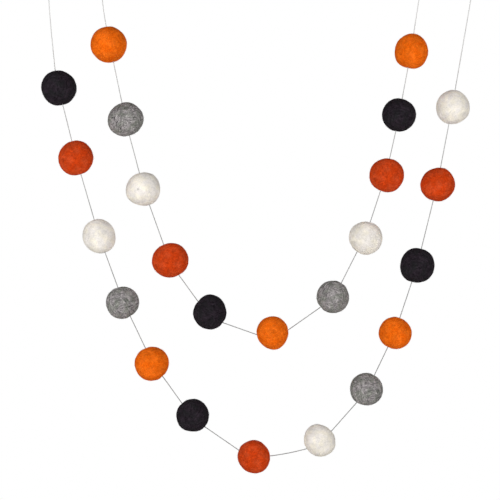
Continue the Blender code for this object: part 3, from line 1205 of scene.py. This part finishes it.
def felt_tree():
    tree, given, result = new_tree(
        "felt surface",
        "GeometryNodeTree",
        [
            ("Ball", "NodeSocketGeometry", None),
            ("Dent Depth", "NodeSocketFloat", 0.19 * MM),
            ("Dent Size", "NodeSocketFloat", 3.2 * MM),
            ("Grain Depth", "NodeSocketFloat", 0.10 * MM),
            ("Grain Size", "NodeSocketFloat", 1.1 * MM),
            ("Fibres per Square Centimetre", "NodeSocketFloat", 26.0),
            ("Fibre Length", "NodeSocketFloat", 2.6 * MM),
            ("Fibre Diameter", "NodeSocketFloat", 0.04 * MM),
            ("Seed", "NodeSocketInt", 0),
            ("Wool", "NodeSocketMaterial", None),
        ],
        [("Felt", "NodeSocketGeometry")],
    )
    kept = {"Name": "skin"}
    skin = put(tree, "GeometryNodeInputNamedAttribute", kept, data_type="FLOAT").outputs[0]
    dents = relief(tree, given["Dent Size"], given["Dent Depth"])
    grain = relief(tree, given["Grain Size"], given["Grain Depth"])
    height = maths(tree, "MULTIPLY", maths(tree, "ADD", dents, grain), skin)
    normal = put(tree, "GeometryNodeInputNormal").outputs[0]
    pushed = {"Geometry": given["Ball"], "Offset": vector_maths(tree, "SCALE", normal, height)}
    felted = put(tree, "GeometryNodeSetPosition", pushed).outputs[0]
    both = put(tree, "GeometryNodeJoinGeometry")
    tree.links.new(down_of_fibres(tree, given, felted, skin), both.inputs[0])
    tree.links.new(felted, both.inputs[0])
    tree.links.new(finished(tree, both.outputs[0], given["Wool"]), result["Felt"])
    return tree


FELT_SURFACE = felt_tree()
print("made the recipe", FELT_SURFACE.name)

# %% [markdown]
# With the recipes ready, a loop makes the balls of both swags. Each takes the name of its solid,
# stands for it, and has its own number, which seeds its lumps, its swirls and its fibres.

# %% Felt every ball
def felt_swag(swag, rows, first_number):
    made = []
    for place, row in enumerate(rows, start=1):
        node = name_of_solid(swag, place, row)
        name = node.replace("ball", "felted")
        number = first_number + place
        ball = link_object(name, ball_mesh(name, row, number))
        shape_with(ball, FELT_SURFACE, {"Seed": number, "Wool": felts[row[0]]})
        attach(ball, "root")
        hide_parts(node)
        made.append(ball)
    return made


balls = felt_swag("inner", INNER_BALLS, 0) + felt_swag("outer", OUTER_BALLS, len(INNER_BALLS))
print(f"{len(balls)} balls with {sum(map(triangles_in, balls))} triangles in all")

# %% [markdown]
# The light is soft and comes from the front, a little stronger from the left, so the rims of the
# balls fall away gently. One wide lamp stands in front and a smaller one on each side of it, and
# another behind the garland keeps its back as well lit for the other views. What surrounds the
# garland has two jobs that call for different strengths: the world is white and the floor pale
# where the camera sees them, but as lights they are dimmer, or they would wash the shading out.

# %% Lamps
# Each lamp: where it stands, how wide it is, and its power
LAMPS = {
    "front_light": ((0.10, -2.6, -0.04), 1.1, 26.0),
    "left_light": ((-0.70, -0.62, -0.15), 0.5, 3.7),
    "right_light": ((0.70, -0.62, -0.13), 0.5, 2.5),
    "back_light": ((0.35, 2.6, -0.1), 1.1, 50.0),
}


def soft_light(name, place, width, power):
    data = bpy.data.lights.new(name, "AREA")
    data.shape = "DISK"
    data.size = width
    data.energy = power
    made = bpy.data.objects.new(name, data)
    made.location = place
    made.rotation_euler = (VIEW_CENTRE - made.location).to_track_quat("-Z", "Y").to_euler()
    made.visible_camera = False
    scene.collection.objects.link(made)


for lamp, settings in LAMPS.items():
    soft_light(lamp, *settings)
print(len(LAMPS), "lamps")

# %% World and floor
AMBIENT_LIGHT = 0.25
WHITE = (1.0, 1.0, 1.0, 1.0)
FLOOR_LEVEL = -0.9
FLOOR_REACH = 3.9
FLOOR_SIDES = 96
FLOOR_COLOUR = (0.82, 0.81, 0.79, 1.0)
FLOOR_SEEN = (0.86, 0.855, 0.845, 1.0)


def seen_or_lighting(tree, output, lighting, seen):
    """One shader for what the camera sees directly, another for the light that it sends out."""
    direct = put(tree, "ShaderNodeLightPath").outputs["Is Camera Ray"]
    shaders = {0: direct, 1: lighting.outputs[0], 2: seen.outputs[0]}
    both = put(tree, "ShaderNodeMixShader", shaders)
    put(tree, output, {"Surface": both.outputs[0]})


def studio_world():
    world = bpy.data.worlds.new("studio")
    world.use_nodes = True
    tree = world.node_tree
    tree.nodes.clear()
    light = put(tree, "ShaderNodeBackground", {"Color": WHITE, "Strength": AMBIENT_LIGHT})
    seen = put(tree, "ShaderNodeBackground", {"Color": WHITE, "Strength": 1.0})
    seen_or_lighting(tree, "ShaderNodeOutputWorld", light, seen)
    return world


def pale_floor_material():
    material = bpy.data.materials.new("pale_floor")
    material.use_nodes = True
    tree = material.node_tree
    tree.nodes.clear()
    matt = put(tree, "ShaderNodeBsdfDiffuse", {"Color": FLOOR_COLOUR})
    seen = put(tree, "ShaderNodeEmission", {"Color": FLOOR_SEEN, "Strength": 1.0})
    seen_or_lighting(tree, "ShaderNodeOutputMaterial", matt, seen)
    return material


def round_floor():
    turns = [2 * math.pi * k / FLOOR_SIDES for k in range(FLOOR_SIDES)]
    rim = [(math.cos(t) * FLOOR_REACH, math.sin(t) * FLOOR_REACH, FLOOR_LEVEL) for t in turns]
    mesh = bpy.data.meshes.new("floor")
    mesh.from_pydata(rim, [], [range(FLOOR_SIDES)])
    mesh.materials.append(pale_floor_material())
    return link_object("floor", mesh)


scene.world = studio_world()
round_floor()
scene.view_settings.view_transform = "Standard"
print(f"a floor {2 * FLOOR_REACH:.1f} m across, {-FLOOR_LEVEL:.1f} m below the hanging line")
